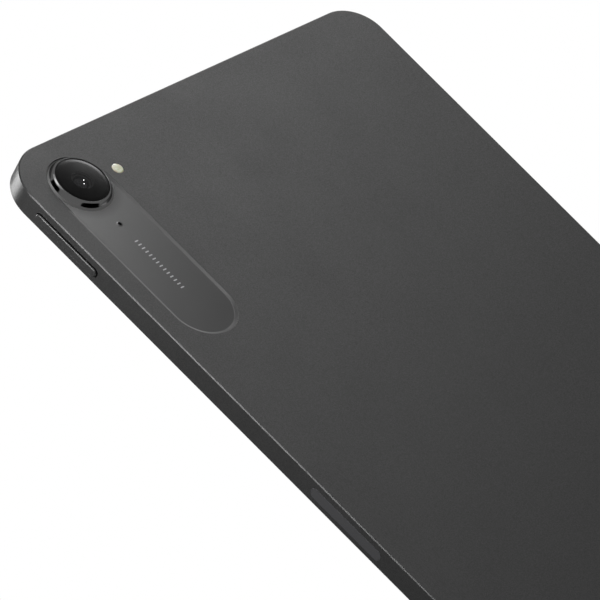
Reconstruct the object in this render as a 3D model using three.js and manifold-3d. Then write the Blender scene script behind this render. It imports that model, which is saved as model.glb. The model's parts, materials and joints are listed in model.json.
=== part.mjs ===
// A tablet computer with an 11-inch display, lying face down: the display glass rests on z = 0 and
// the metal back faces +Z. +Y points to the camera end, and the volume rocker is on the -X wall.
// The origin is the middle of the footprint, on the outer face of the glass. Millimetres.

import * as THREE from "three";
import { mergeVertices } from "three/addons/utils/BufferGeometryUtils.js";
import Module from "manifold-3d";

const wasm = await Module();
wasm.setup();

// ---------------------------------------------------------------- driving dimensions

const WIDTH = 166;
const LENGTH = 254.6;
const THICKNESS = 7.4;
const CORNER_RADIUS = { left: 16, right: 12.2 }; // the corners on the rocker's side are rounder
const EDGE_CHAMFER = 0.35;

const SIDE_WALL = 2.4;
const BACK_PLATE = 0.9;
const FRAME_FRONT = 0.1; // the frame's front rim sits this far behind the glass face
const GLASS_LIP = 0.55; // rim of the frame that stands round the glass
const GLASS_THICKNESS = 0.6;
const GLASS_LEDGE = 0.75;

const FIT = 0.1; // clearance round an inset piece
const SEAT = 0.03; // clearance under a piece that rests on another
const KEY_CLEARANCE = 0.3; // clearance round a key in its slot

const CAMERA_INSET = { x: 19.4, y: 18.3 }; // from the -X wall and from the camera end
const RING_RADIUS = 9.6;
const RING_HEIGHT = 1.8; // above the back
const RING_FOOT = { radius: 10.25, height: 0.1 }; // where the sloping wall meets the flange
const RING_FLANGE_RADIUS = 10.9;
const FOCUS_TRAVEL = 0.3;

const PANEL_HALF_WIDTH = 12.15;
const PANEL_LENGTH = 66.8; // from the camera's axis to the tip of the round end
const PANEL_DISH = 0.4; // how far the panel's floor lies below the back
const PANEL_SLOPE = 1.05; // width of the slope between its rim and its floor
const PANEL_THICKNESS = 0.3; // of the floor
const PANEL_NECK_RADIUS = 10.95;
const PANEL_PAD = { wide: 2, deep: 0.3 }; // the thicker patch of housing that carries the panel

const PANEL_ANTENNA = { y: 72, width: 18, length: 29, radius: 3.5, front: 6.36, back: 6.5 };

const FLASH_INSET = { x: 36.15, y: 18.7 };
const FLASH_RADIUS = 1.95;
const MICROPHONE_HOLE_RADIUS = 0.65;
const MICROPHONE_INSET_Y = 36.2;

const KEY_HEIGHT = 2.7;
const KEY_PROUD = 0.6; // how far a key stands out of the wall
const KEY_CENTRE_Z = 3.3;
const ROCKER_LENGTH = 27.2;
const ROCKER_INSET_Y = 33.3;
const POWER_LENGTH = 12.6;
const POWER_X = -60.6;

const STYLUS_WINDOW = { length: 31, height: 3.5, depth: 0.5, insetY: 159, z: 3.35 };

const TRAY = { y: 93, z: 3.6, length: 13.1, height: 2.1, bedWidth: 12.2, bedThickness: 1.3, reach: 20 };

const USB = { width: 8.9, height: 3.2, depth: 7.2, z: 4.25, wall: 0.3 };
const SPEAKER = { x: 35.5, width: 34, depth: 11, slots: 5, pitch: 4.6, slotLength: 3.4, slotHeight: 1.5 };
const SPEAKER_SLOT_Z = 3.7;

const DISPLAY = { width: 152, length: 241 };
const BOARD_THICKNESS = 0.8;
const MAIN_BOARD_Z = 4.6;

// ---------------------------------------------------------------- places worked out from them

const HALF_WIDTH = WIDTH / 2;
const HALF_LENGTH = LENGTH / 2;
const INNER_X = HALF_WIDTH - SIDE_WALL;
const INNER_Y = HALF_LENGTH - SIDE_WALL;
const INNER_BACK = THICKNESS - BACK_PLATE;
const CAMERA_X = CAMERA_INSET.x - HALF_WIDTH;
const CAMERA_Y = HALF_LENGTH - CAMERA_INSET.y;
const PANEL_END_Y = CAMERA_Y - PANEL_LENGTH + PANEL_HALF_WIDTH;
const PANEL_FLOOR = THICKNESS - PANEL_DISH;
const PANEL_BOTTOM = PANEL_FLOOR - PANEL_THICKNESS;
const PANEL_RIM = THICKNESS - 0.02;
const FLASH_X = FLASH_INSET.x - HALF_WIDTH;
const FLASH_Y = HALF_LENGTH - FLASH_INSET.y;
const MICROPHONE_Y = HALF_LENGTH - MICROPHONE_INSET_Y;
const ROCKER_Y = HALF_LENGTH - ROCKER_INSET_Y;
const STYLUS_Y = HALF_LENGTH - STYLUS_WINDOW.insetY;
const BOARD_BACK = MAIN_BOARD_Z + BOARD_THICKNESS;

const CORNER_STEPS = 5; // a quarter round has twice as many facets
const SMALL_STEPS = 2;
const ROUND_FACETS = 48;
const SMALL_FACETS = 16;

// Board outlines: centre and size in plan.
const MAIN_BOARD = { x: 14, y: 98, width: 128, length: 28 };
const USB_BOARD = { x: 0, y: -111.3, width: 32, length: 11 };
const MAIN_BOARD_SCREWS = [
  { name: "board_screw_left", x: -46, y: 87.2 },
  { name: "board_screw_middle", x: -36, y: 109 },
  { name: "board_screw_right", x: 75, y: 109 },
];
const USB_BOARD_SCREWS = [
  { name: "usb_screw_left", x: -13, y: -109 },
  { name: "usb_screw_right", x: 13, y: -109 },
];
const USB_BOARD_Z = 4.6;
const SCREW = { headRadius: 1.25, headHeight: 0.45, shankRadius: 0.6, length: 1.5 };
const BOSS_RADIUS = 1.9;
const BOSS_HOLE_RADIUS = 0.75;

// ---------------------------------------------------------------- finishes

const finish = (color, roughness, metalness) => ({ color, roughness, metalness });
const FINISH = {
  housing: finish(0x55565a, 0.5, 0.85),
  panel: finish(0x5c5d61, 0.32, 0.4),
  ring: finish(0x3c3d41, 0.18, 1),
  key: finish(0x5a5b5f, 0.42, 0.85),
  lensGlass: finish(0x0b0c0f, 0.05, 0),
  screenGlass: finish(0x08090b, 0.06, 0),
  displayCell: finish(0x0d0d10, 0.2, 0),
  backlight: finish(0xb9bcc0, 0.35, 0.8),
  blackPlastic: finish(0x151517, 0.6, 0),
  window: finish(0x4b4c50, 0.4, 0.1),
  phosphor: finish(0xe9dfae, 0.3, 0),
  steel: finish(0x9a9da1, 0.35, 0.95),
  circuitBoard: finish(0x16302a, 0.55, 0),
  flex: finish(0x7a4a1e, 0.45, 0.1),
  battery: finish(0x1c1e22, 0.5, 0.2),
  gasket: finish(0x111112, 0.85, 0),
  graphite: finish(0x2b2c2e, 0.6, 0.3),
  mesh: finish(0x2f3033, 0.55, 0.7),
  magnet: finish(0xa8aaad, 0.25, 1),
  coil: finish(0xa86a35, 0.4, 0.9),
};

// ---------------------------------------------------------------- outlines

// A rectangle with round corners. A radius of half the height makes a pill.
function roundedRectangle(width, height, radius, centreX = 0, centreY = 0) {
  const right = width / 2 - radius;
  const top = height / 2 - radius;
  const quarter = Math.PI / 2;
  const shape = new THREE.Shape();
  shape.absarc(centreX + right, centreY - top, radius, -quarter, 0, false);
  shape.absarc(centreX + right, centreY + top, radius, 0, quarter, false);
  shape.absarc(centreX - right, centreY + top, radius, quarter, 2 * quarter, false);
  shape.absarc(centreX - right, centreY - top, radius, 2 * quarter, 3 * quarter, false);
  shape.closePath();
  return shape;
}

function pill(length, height, centreX = 0, centreY = 0) {
  return roundedRectangle(length, height, height / 2, centreX, centreY);
}

function rectangle(width, height, centreX = 0, centreY = 0) {
  const right = centreX + width / 2;
  const left = centreX - width / 2;
  const top = centreY + height / 2;
  const bottom = centreY - height / 2;
  const shape = new THREE.Shape();
  shape.moveTo(left, bottom);
  shape.lineTo(right, bottom);
  shape.lineTo(right, top);
  shape.lineTo(left, top);
  shape.closePath();
  return shape;
}

function disc(radius, centreX = 0, centreY = 0) {
  const shape = new THREE.Shape();
  shape.absarc(centreX, centreY, radius, 0, 2 * Math.PI, false);
  return shape;
}

// The tablet's outline, drawn in by an inset on every side.
function frameOutline(inset) {
  const left = CORNER_RADIUS.left - inset;
  const right = CORNER_RADIUS.right - inset;
  const rightX = HALF_WIDTH - CORNER_RADIUS.right;
  const rightY = HALF_LENGTH - CORNER_RADIUS.right;
  const leftX = HALF_WIDTH - CORNER_RADIUS.left;
  const leftY = HALF_LENGTH - CORNER_RADIUS.left;
  const quarter = Math.PI / 2;
  const shape = new THREE.Shape();
  shape.absarc(rightX, -rightY, right, -quarter, 0, false);
  shape.absarc(rightX, rightY, right, 0, quarter, false);
  shape.absarc(-leftX, leftY, left, quarter, 2 * quarter, false);
  shape.absarc(-leftX, -leftY, left, 2 * quarter, 3 * quarter, false);
  shape.closePath();
  return shape;
}

// The accent panel: a pill whose far end narrows at two shoulders to hug the camera ring.
// The camera's axis is at (0, 0), and the round end is on the -Y side.
function panelOutline(grow) {
  const half = PANEL_HALF_WIDTH + grow;
  const neck = PANEL_NECK_RADIUS + grow;
  const endY = PANEL_END_Y - CAMERA_Y;
  const shoulderY = -3;
  const neckAngle = THREE.MathUtils.degToRad(20);
  const neckX = neck * Math.cos(neckAngle);
  const neckY = neck * Math.sin(neckAngle);
  const pull = 3; // length of the curve's handles
  const handleX = neckX + pull * Math.sin(neckAngle);
  const handleY = neckY - pull * Math.cos(neckAngle);
  const shape = new THREE.Shape();
  shape.absarc(0, endY, half, Math.PI, 2 * Math.PI, false);
  shape.lineTo(half, shoulderY);
  shape.bezierCurveTo(half, shoulderY + pull, handleX, handleY, neckX, neckY);
  shape.absarc(0, 0, neck, neckAngle, Math.PI - neckAngle, false);
  shape.bezierCurveTo(-handleX, handleY, -half, shoulderY + pull, -half, shoulderY);
  shape.closePath();
  return shape;
}

// ---------------------------------------------------------------- solids

// Outlines across "z" are drawn in (x, y), across "x" in (y, z) and across "y" in (x, z).
const ACROSS = {
  z: [new THREE.Vector3(1, 0, 0), new THREE.Vector3(0, 1, 0), new THREE.Vector3(0, 0, 1)],
  x: [new THREE.Vector3(0, 1, 0), new THREE.Vector3(0, 0, 1), new THREE.Vector3(1, 0, 0)],
  y: [new THREE.Vector3(1, 0, 0), new THREE.Vector3(0, 0, 1), new THREE.Vector3(0, -1, 0)],
};

// The outline swept straight along an axis, from start to end.
function prism(outline, axis, start, end, curveSegments = SMALL_STEPS) {
  const depth = end - start;
  const geometry = new THREE.ExtrudeGeometry(outline, { depth, bevelEnabled: false, curveSegments });
  geometry.translate(0, 0, axis === "y" ? -end : start);
  geometry.applyMatrix4(new THREE.Matrix4().makeBasis(...ACROSS[axis]));
  return geometry;
}

// The outline swept along +Z, with a flat chamfer on both ends.
function chamferedPlate(outline, start, end, chamfer, curveSegments) {
  const geometry = new THREE.ExtrudeGeometry(outline, {
    depth: end - start - 2 * chamfer,
    bevelEnabled: true,
    bevelThickness: chamfer,
    bevelSize: chamfer,
    bevelOffset: -chamfer,
    bevelSegments: 1,
    curveSegments,
  });
  return geometry.translate(0, 0, start + chamfer);
}

// A profile of [radius, height] points turned round the Z axis.
function turned(profile, facets = ROUND_FACETS) {
  const points = profile.map(([radius, height]) => new THREE.Vector2(radius, height));
  return new THREE.LatheGeometry(points, facets).rotateX(Math.PI / 2);
}

function toManifold(shape) {
  if (!shape.isBufferGeometry) return shape;
  const bare = shape.clone();
  bare.deleteAttribute("normal");
  bare.deleteAttribute("uv");
  const merged = mergeVertices(bare, 1e-4);
  const vertProperties = new Float32Array(merged.attributes.position.array);
  const triVerts = new Uint32Array(merged.index.array);
  return new wasm.Manifold(new wasm.Mesh({ numProp: 3, vertProperties, triVerts }));
}

function join(first, ...others) {
  return others.reduce((sum, other) => sum.add(toManifold(other)), toManifold(first));
}

function cut(body, ...tools) {
  return tools.reduce((rest, tool) => rest.subtract(toManifold(tool)), toManifold(body));
}

function toGeometry(solid) {
  const mesh = solid.getMesh();
  const geometry = new THREE.BufferGeometry();
  geometry.setAttribute("position", new THREE.BufferAttribute(mesh.vertProperties, 3));
  geometry.setIndex(new THREE.BufferAttribute(mesh.triVerts, 1));
  return geometry.toNonIndexed();
}

const tablet = new THREE.Group();

// Adds one named piece to the tablet, or to a group in it.
function piece(name, shape, look, parent = tablet) {
  const geometry = shape.isBufferGeometry ? shape : toGeometry(shape);
  geometry.computeVertexNormals();
  const mesh = new THREE.Mesh(geometry, new THREE.MeshStandardMaterial(look));
  mesh.name = name;
  parent.add(mesh);
  return mesh;
}

function groupAt(x, y, z) {
  const group = new THREE.Group();
  group.position.set(x, y, z);
  tablet.add(group);
  return group;
}

// ---------------------------------------------------------------- rear housing

function speakerSlots(side, centreX) {
  const outer = side * (HALF_LENGTH + 1);
  const inner = side * (INNER_Y - 1);
  const slots = [];
  for (let i = 0; i < SPEAKER.slots; i += 1) {
    const x = centreX + (i - (SPEAKER.slots - 1) / 2) * SPEAKER.pitch;
    const outline = pill(SPEAKER.slotLength, SPEAKER.slotHeight, x, SPEAKER_SLOT_Z);
    slots.push(prism(outline, "y", Math.min(outer, inner), Math.max(outer, inner)));
  }
  return slots;
}

function keySlot(length, axis, centre, outer, inner) {
  const outline = pill(length + 2 * KEY_CLEARANCE, KEY_HEIGHT + 2 * KEY_CLEARANCE, centre, KEY_CENTRE_Z);
  return prism(outline, axis, Math.min(outer, inner), Math.max(outer, inner), 3);
}

function wallOpenings() {
  const beyondX = HALF_WIDTH + 1;
  const beyondY = HALF_LENGTH + 1;
  const behindX = INNER_X - 1;
  const behindY = INNER_Y - 1;
  const window = pill(
    STYLUS_WINDOW.length + FIT,
    STYLUS_WINDOW.height + FIT,
    STYLUS_Y,
    STYLUS_WINDOW.z
  );
  const tray = pill(TRAY.length + 2 * FIT, TRAY.height + 2 * FIT, TRAY.y, TRAY.z);
  const usb = pill(USB.width + 2 * FIT, USB.height + 2 * FIT, 0, USB.z);
  const microphone = disc(MICROPHONE_HOLE_RADIUS, 11, USB.z);
  return [
    keySlot(ROCKER_LENGTH, "x", ROCKER_Y, -beyondX, -behindX),
    keySlot(POWER_LENGTH, "y", POWER_X, beyondY, behindY),
    prism(window, "x", -beyondX, -HALF_WIDTH + STYLUS_WINDOW.depth + SEAT, 4),
    prism(tray, "x", behindX, beyondX, 3),
    prism(usb, "y", -beyondY, -behindY, 4),
    prism(microphone, "y", -beyondY, -behindY, 4),
    ...speakerSlots(1, -SPEAKER.x),
    ...speakerSlots(1, SPEAKER.x),
    ...speakerSlots(-1, -SPEAKER.x),
    ...speakerSlots(-1, SPEAKER.x),
  ];
}

// The stepped seat of the accent panel, with the openings under it for the camera, the antenna
// and the microphone, and the flash hole beside it.
function backOpenings() {
  const below = INNER_BACK - 1;
  const above = THICKNESS + 1;
  const seat = prism(panelOutline(FIT), "z", PANEL_BOTTOM - SEAT, above, 8);
  seat.translate(CAMERA_X, CAMERA_Y, 0);
  const { y, width, length, radius } = PANEL_ANTENNA;
  const antenna = roundedRectangle(width + 1, length + 1, radius, CAMERA_X, y);
  return [
    seat,
    prism(disc(8.8, CAMERA_X, CAMERA_Y), "z", below, above, 12),
    prism(antenna, "z", below, above),
    prism(disc(MICROPHONE_HOLE_RADIUS, CAMERA_X, MICROPHONE_Y), "z", below, above, 4),
    prism(disc(FLASH_RADIUS + FIT, FLASH_X, FLASH_Y), "z", below, above, 8),
  ];
}

function panelPad() {
  const pad = prism(panelOutline(PANEL_PAD.wide), "z", INNER_BACK - PANEL_PAD.deep, PANEL_BOTTOM, 6);
  return pad.translate(CAMERA_X, CAMERA_Y, 0);
}

function boss({ x, y }, bottom) {
  const post = prism(disc(BOSS_RADIUS, x, y), "z", bottom, INNER_BACK + BACK_PLATE / 2, 4);
  const hole = prism(disc(BOSS_HOLE_RADIUS, x, y), "z", bottom - 1, INNER_BACK, 4);
  return cut(post, hole);
}

function rearHousing() {
  const shell = join(
    chamferedPlate(frameOutline(0), FRAME_FRONT, THICKNESS, EDGE_CHAMFER, CORNER_STEPS),
    prism(frameOutline(0), "z", FRAME_FRONT, THICKNESS / 2, CORNER_STEPS)
  );
  const glassSeat = prism(frameOutline(GLASS_LIP), "z", -1, GLASS_LEDGE, CORNER_STEPS);
  const pocket = prism(frameOutline(SIDE_WALL), "z", -1, INNER_BACK, CORNER_STEPS);
  const hollow = cut(shell, glassSeat, pocket);
  const boardBosses = MAIN_BOARD_SCREWS.map((screw) => boss(screw, BOARD_BACK + SEAT));
  const usbBosses = USB_BOARD_SCREWS.map((screw) => boss(screw, USB_BOARD_Z + BOARD_THICKNESS + SEAT));
  const braced = join(hollow, panelPad(), ...boardBosses, ...usbBosses);
  piece("rear_housing", cut(braced, ...wallOpenings(), ...backOpenings()), FINISH.housing);
}

// ---------------------------------------------------------------- rear camera and accent panel

// A shallow dish. Its sloping rim stops where the camera ring's flange begins.
function accentPanel() {
  const above = THICKNESS + 1;
  const rimWidth = 0.1;
  const dish = new THREE.ExtrudeGeometry(panelOutline(0), {
    depth: 1,
    bevelEnabled: true,
    bevelThickness: PANEL_DISH,
    bevelSize: PANEL_SLOPE,
    bevelOffset: -PANEL_SLOPE - rimWidth,
    bevelSegments: 1,
    curveSegments: 8,
  });
  dish.translate(0, 0, THICKNESS);
  const neck = prism(disc(PANEL_NECK_RADIUS + 0.15), "z", PANEL_FLOOR, above, 12);
  const ringHole = prism(disc(8.85), "z", 0, above, 12);
  const soundHole = prism(disc(MICROPHONE_HOLE_RADIUS, 0, MICROPHONE_Y - CAMERA_Y), "z", 0, above, 4);
  const plate = prism(panelOutline(0), "z", PANEL_BOTTOM, PANEL_RIM, 8);
  const panel = cut(plate, dish, neck, ringHole, soundHole);
  piece("accent_panel", panel, FINISH.panel, groupAt(CAMERA_X, CAMERA_Y, 0));
}

const COVER_GLASS = { radius: 8.85, thickness: 0.6, belowRim: 0.2 };
const RING_TOP = THICKNESS + RING_HEIGHT;
const COVER_TOP = RING_TOP - COVER_GLASS.belowRim;
const COVER_BOTTOM = COVER_TOP - COVER_GLASS.thickness;

// The ring: a flange, a wall that leans inwards, a narrow rim, and a skirt in the housing's hole.
function cameraRing(camera) {
  const flangeBottom = PANEL_FLOOR + SEAT;
  const skirtRadius = 8.5;
  const skirtBottom = INNER_BACK - 0.4;
  const boreRadius = 7.6;
  const shoulder = 0.3;
  const rimBevel = 0.1;
  const seatRadius = COVER_GLASS.radius + FIT / 2;
  const seat = COVER_BOTTOM - SEAT;
  const profile = [
    [boreRadius, skirtBottom],
    [skirtRadius, skirtBottom],
    [skirtRadius, flangeBottom],
    [RING_FLANGE_RADIUS, flangeBottom],
    [RING_FLANGE_RADIUS, THICKNESS - RING_FOOT.height],
    [RING_FOOT.radius, THICKNESS + RING_FOOT.height],
    [RING_RADIUS, RING_TOP - 2 * shoulder],
    [RING_RADIUS - shoulder, RING_TOP],
    [seatRadius + rimBevel, RING_TOP],
    [seatRadius, RING_TOP - rimBevel],
    [seatRadius, seat],
    [boreRadius, seat],
    [boreRadius, skirtBottom],
  ];
  piece("camera_ring", turned(profile), FINISH.ring, camera);
}

function cameraGlass(camera) {
  const edge = 0.1;
  const bevel = { width: 1.1, drop: 0.3 };
  const profile = [
    [0, COVER_BOTTOM],
    [COVER_GLASS.radius, COVER_BOTTOM],
    [COVER_GLASS.radius, COVER_TOP - bevel.drop - edge],
    [COVER_GLASS.radius - edge, COVER_TOP - bevel.drop],
    [COVER_GLASS.radius - bevel.width, COVER_TOP],
    [0, COVER_TOP],
  ];
  piece("camera_cover_glass", turned(profile), FINISH.lensGlass, camera);
  const baffleTop = COVER_BOTTOM - 0.05;
  const ring = disc(7.4);
  ring.holes.push(disc(3.7));
  piece("camera_baffle", prism(ring, "z", baffleTop - 0.15, baffleTop, 10), FINISH.blackPlastic, camera);
}

// The autofocus unit: the barrel slides along Z in the motor's bore, with its front lens.
function cameraFocusUnit(camera) {
  const barrelRadius = 3.3;
  const barrelBottom = 4.4;
  const barrelTop = COVER_BOTTOM - FOCUS_TRAVEL - 0.2;
  const cupRadius = 2.4;
  const cupBottom = barrelTop - 1;
  const barrel = [
    [0, barrelBottom],
    [barrelRadius, barrelBottom],
    [barrelRadius, barrelTop - 0.2],
    [barrelRadius - 0.2, barrelTop],
    [cupRadius + 0.3, barrelTop],
    [cupRadius, barrelTop - 0.5],
    [cupRadius, cupBottom],
    [0, cupBottom],
  ];
  piece("camera_lens_barrel", turned(barrel, 32), FINISH.blackPlastic, camera);

  const lensRadius = cupRadius - 0.06;
  const lensBottom = cupBottom + SEAT;
  const lensRim = lensBottom + 0.2;
  const crown = 0.35;
  const steps = 5;
  const dome = [[0, lensBottom], [lensRadius, lensBottom]];
  for (let i = 0; i <= steps; i += 1) {
    const across = 1 - i / steps;
    dome.push([lensRadius * across, lensRim + crown * (1 - across * across)]);
  }
  piece("camera_lens_element", turned(dome, 32), FINISH.lensGlass, camera);

  const motor = roundedRectangle(10.4, 10.4, 1);
  motor.holes.push(disc(barrelRadius + 0.3));
  piece("camera_focus_motor", prism(motor, "z", 3.85, 6.9, 6), FINISH.blackPlastic, camera);
  const sensorBoard = roundedRectangle(11.6, 11.6, 0.8);
  piece("camera_sensor_board", prism(sensorBoard, "z", 3.2, 3.8), FINISH.circuitBoard, camera);
}

function rearCamera() {
  const camera = groupAt(CAMERA_X, CAMERA_Y, 0);
  cameraRing(camera);
  cameraGlass(camera);
  cameraFocusUnit(camera);
}

function flash() {
  const unit = groupAt(FLASH_X, FLASH_Y, 0);
  const lensBottom = INNER_BACK + 0.1;
  const lensTop = THICKNESS - 0.02;
  const edge = 0.1;
  const lens = [
    [0, lensBottom],
    [FLASH_RADIUS, lensBottom],
    [FLASH_RADIUS, lensTop - edge],
    [FLASH_RADIUS - edge, lensTop],
    [0, lensTop],
  ];
  piece("flash_lens", turned(lens, 32), FINISH.phosphor, unit);
  const chip = prism(rectangle(2, 2), "z", BOARD_BACK + SEAT, INNER_BACK - 0.1);
  piece("flash_led", chip, FINISH.phosphor, unit);
}

function panelElectronics() {
  const microphone = roundedRectangle(3.6, 2.8, 0.3, CAMERA_X, MICROPHONE_Y);
  piece("rear_microphone", prism(microphone, "z", 5, 6.1), FINISH.steel);
  const { y, width, length, radius, front, back } = PANEL_ANTENNA;
  const antenna = roundedRectangle(width, length, radius, CAMERA_X, y);
  piece("panel_antenna", prism(antenna, "z", front, back), FINISH.flex);
  const path = new THREE.CatmullRomCurve3([
    new THREE.Vector3(CAMERA_X + 3, 78, 5.9),
    new THREE.Vector3(CAMERA_X + 8, 81.5, 5.8),
    new THREE.Vector3(-53, 84, 5.75),
    new THREE.Vector3(-48.5, 92, 5.85),
    new THREE.Vector3(-46.5, 97, 5.85),
  ]);
  const cable = new THREE.ExtrudeGeometry(disc(0.35), {
    steps: 14,
    extrudePath: path,
    curveSegments: 4,
    bevelEnabled: false,
  });
  piece("antenna_cable", cable, FINISH.blackPlastic);
}

// ---------------------------------------------------------------- keys

const KEY_FLANGE_GAP = 0.4; // between a key's retaining flange and the wall's inner face
const KEY_FLANGE = 0.6;
const KEY_NUB = { radius: 0.9, length: 0.6 };
const KEY_EDGE = 0.35;

// A key drawn with its outer face towards +Z, its length along X, and the wall's outer face at z = 0.
function keyBody(length, nubs) {
  const inner = -SIDE_WALL - KEY_FLANGE_GAP;
  const reduced = pill(length, KEY_HEIGHT);
  const head = chamferedPlate(reduced, inner, KEY_PROUD, KEY_EDGE, 3);
  const stem = prism(pill(length, KEY_HEIGHT), "z", inner - 0.1, 0, 3);
  const flange = pill(length + 2.4, KEY_HEIGHT + 1);
  const tabs = nubs.map((x) =>
    prism(disc(KEY_NUB.radius, x, 0), "z", inner - KEY_FLANGE - KEY_NUB.length, inner - 0.2)
  );
  return join(head, stem, prism(flange, "z", inner - KEY_FLANGE, inner, 3), ...tabs);
}

const NUB_TIP = SIDE_WALL + KEY_FLANGE_GAP + KEY_FLANGE + KEY_NUB.length; // behind the outer face
const SWITCH_DEPTH = 0.75;
const SWITCH_BOARD = 0.4;

function switchBlock() {
  const face = -NUB_TIP - 0.33;
  return prism(roundedRectangle(3.2, 2.6, 0.3), "z", face - SWITCH_DEPTH, face);
}

function switchBoard(length) {
  const back = -NUB_TIP - 0.33 - SWITCH_DEPTH - SEAT;
  return prism(roundedRectangle(length, 3.2, 0.4), "z", back - SWITCH_BOARD, back);
}

function volumeRocker() {
  const keys = groupAt(-HALF_WIDTH, ROCKER_Y, KEY_CENTRE_Z);
  keys.rotation.set(-Math.PI / 2, 0, Math.PI / 2, "ZXY");
  const reach = 8.5; // from the pivot to each switch
  piece("volume_rocker", keyBody(ROCKER_LENGTH, [-reach, reach]), FINISH.key, keys);
  piece("volume_switch_board", switchBoard(26), FINISH.flex, keys);
  piece("volume_up_switch", switchBlock(), FINISH.steel, keys).position.x = -reach;
  piece("volume_down_switch", switchBlock(), FINISH.steel, keys).position.x = reach;
}

function powerButton() {
  const keys = groupAt(POWER_X, HALF_LENGTH, KEY_CENTRE_Z);
  keys.rotation.set(-Math.PI / 2, 0, 0);
  piece("power_button", keyBody(POWER_LENGTH, [0]), FINISH.key, keys);
  piece("power_switch_board", switchBoard(10), FINISH.flex, keys);
  piece("power_switch", switchBlock(), FINISH.steel, keys);
}

// ---------------------------------------------------------------- stylus charging

function stylusCharging() {
  const { length, height, depth, z } = STYLUS_WINDOW;
  const window = prism(pill(length, height, STYLUS_Y, z), "x", -HALF_WIDTH, -HALF_WIDTH + depth, 4);
  piece("stylus_charging_window", window, FINISH.window);

  const coilOuter = pill(26, 3.2, STYLUS_Y, z);
  coilOuter.holes.push(pill(22.4, 0.8, STYLUS_Y, z));
  piece("stylus_charging_coil", prism(coilOuter, "x", -INNER_X + 0.1, -INNER_X + 1.3, 3), FINISH.coil);

  const magnetReach = 22;
  for (const [name, side] of [["stylus_magnet_upper", 1], ["stylus_magnet_lower", -1]]) {
    const outline = roundedRectangle(12, 2.8, 0.2, STYLUS_Y + side * magnetReach, z);
    piece(name, prism(outline, "x", -INNER_X + 0.1, -INNER_X + 1.9, 1), FINISH.magnet);
  }
}

// ---------------------------------------------------------------- display

const CELL = { front: 0.65, back: 1.25 };
const BACKLIGHT = { front: 1.28, back: 2.6, inset: 0.6 };

function display() {
  const glassInset = GLASS_LIP + FIT;
  piece(
    "display_cover_glass",
    join(
      chamferedPlate(frameOutline(glassInset), 0, GLASS_THICKNESS, 0.15, CORNER_STEPS),
      prism(frameOutline(glassInset), "z", GLASS_THICKNESS / 2, GLASS_THICKNESS, CORNER_STEPS)
    ),
    FINISH.screenGlass
  );

  const gasket = frameOutline(GLASS_LIP + 0.25);
  gasket.holes.push(frameOutline(SIDE_WALL - 0.2));
  const gasketFront = GLASS_THICKNESS + 0.02;
  const gasketBack = GLASS_LEDGE - 0.02;
  piece("display_gasket", prism(gasket, "z", gasketFront, gasketBack, CORNER_STEPS), FINISH.gasket);

  const cell = roundedRectangle(DISPLAY.width, DISPLAY.length, 3);
  piece("display_panel", prism(cell, "z", CELL.front, CELL.back), FINISH.displayCell);
  const trim = 2 * BACKLIGHT.inset;
  const backlight = roundedRectangle(DISPLAY.width - trim, DISPLAY.length - trim, 2.5);
  piece("display_backlight", prism(backlight, "z", BACKLIGHT.front, BACKLIGHT.back), FINISH.backlight);
}

// A ribbon that leaves the display panel's edge, folds round the backlight and lies behind it.
function displayFlex() {
  const edge = DISPLAY.length / 2 + 0.1;
  const foldY = edge + 0.9;
  const thickness = 0.15;
  const back = BACKLIGHT.back + 0.1;
  const front = CELL.front + 0.15;
  const middle = (back + thickness + front) / 2;
  const outer = (back + thickness - front) / 2;
  const inner = outer - thickness;
  const tail = 98;
  const ribbon = new THREE.Shape();
  ribbon.moveTo(edge, front);
  ribbon.lineTo(foldY, front);
  ribbon.absarc(foldY, middle, outer, -Math.PI / 2, Math.PI / 2, false);
  ribbon.lineTo(tail, back + thickness);
  ribbon.lineTo(tail, back);
  ribbon.lineTo(foldY, back);
  ribbon.absarc(foldY, middle, inner, Math.PI / 2, -Math.PI / 2, true);
  ribbon.lineTo(edge, front + thickness);
  ribbon.closePath();
  piece("display_flex_cable", prism(ribbon, "x", -15, 15, 4), FINISH.flex);
}

function frontCamera() {
  const x = -(DISPLAY.width / 2 + 2.3);
  const body = prism(roundedRectangle(4.2, 5, 0.4, x, 0), "z", 1.1, 4.4);
  const lens = prism(disc(1.5, x, 0), "z", CELL.front, 1.2, 5);
  piece("front_camera", join(body, lens), FINISH.blackPlastic);
}

// ---------------------------------------------------------------- batteries

const BATTERY = { width: 70, length: 140, gap: 8, middleY: -20, front: 3, back: 6.1 };

function batteries() {
  const edge = BATTERY.middleY + BATTERY.length / 2;
  for (const [name, side] of [["battery_cell_left", -1], ["battery_cell_right", 1]]) {
    const x = side * (BATTERY.gap + BATTERY.width) / 2;
    const outline = roundedRectangle(BATTERY.width, BATTERY.length, 2, x, BATTERY.middleY);
    piece(name, prism(outline, "z", BATTERY.front, BATTERY.back), FINISH.battery);
  }
  const protection = rectangle(60, 5, 0, edge + 4);
  piece("battery_protection_board", prism(protection, "z", 4.4, 5.4), FINISH.circuitBoard);
  const flexStart = edge + 3;
  const flexEnd = MAIN_BOARD.y - MAIN_BOARD.length / 2 + 4;
  const flex = rectangle(9, flexEnd - flexStart, 14, (flexStart + flexEnd) / 2);
  piece("battery_flex_cable", prism(flex, "z", BOARD_BACK + 0.1, BOARD_BACK + 0.3), FINISH.flex);
}

// ---------------------------------------------------------------- boards

function screw({ name, x, y }, boardFront) {
  const at = groupAt(x, y, boardFront - SEAT);
  const drive = 0.5;
  const profile = [
    [0, drive * 0.6 - SCREW.headHeight],
    [drive, -SCREW.headHeight],
    [SCREW.headRadius, -SCREW.headHeight],
    [SCREW.headRadius, 0],
    [SCREW.shankRadius, 0],
    [SCREW.shankRadius, SCREW.length],
    [0, SCREW.length + 0.2],
  ];
  piece(name, turned(profile, SMALL_FACETS), FINISH.steel, at);
}

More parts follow.
